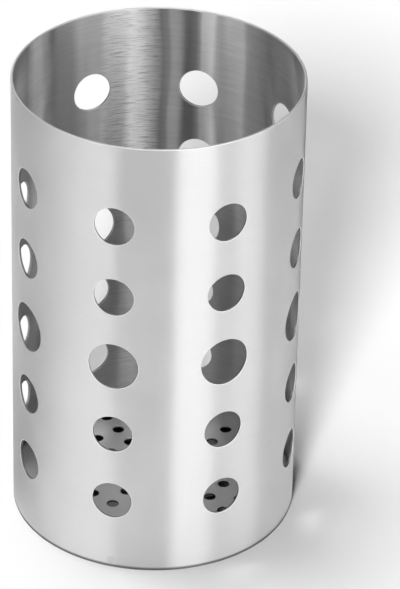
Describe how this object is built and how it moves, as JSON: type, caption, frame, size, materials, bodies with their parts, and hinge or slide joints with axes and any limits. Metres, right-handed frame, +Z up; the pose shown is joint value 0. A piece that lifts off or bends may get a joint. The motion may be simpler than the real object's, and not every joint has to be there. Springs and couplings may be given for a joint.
{
  "type": "cutlery holder",
  "caption": "Round upright cutlery holder: a perforated brushed steel sleeve with a raised drain floor.",
  "frame": {"origin": "centre of the foot, on the surface that the holder stands on", "axes": "+Z up along the sleeve's axis, towards the open mouth; -Y is the front, and the seam weld is at the back, towards +Y; +X to the right seen from the front"},
  "size_m": [0.08, 0.08, 0.135],
  "materials": {
    "sleeve_steel": "brushed round the sleeve, satin",
    "pan_steel": "fine matt, rolled sheet",
    "weld_steel": "weld metal, ground flush"
  },
  "bodies": {
    "root": {"wall_sleeve": "sleeve_steel", "floor_pan": "pan_steel", "seam_weld": "weld_steel", "spot_welds": "weld_steel"}
  },
  "joints": []
}
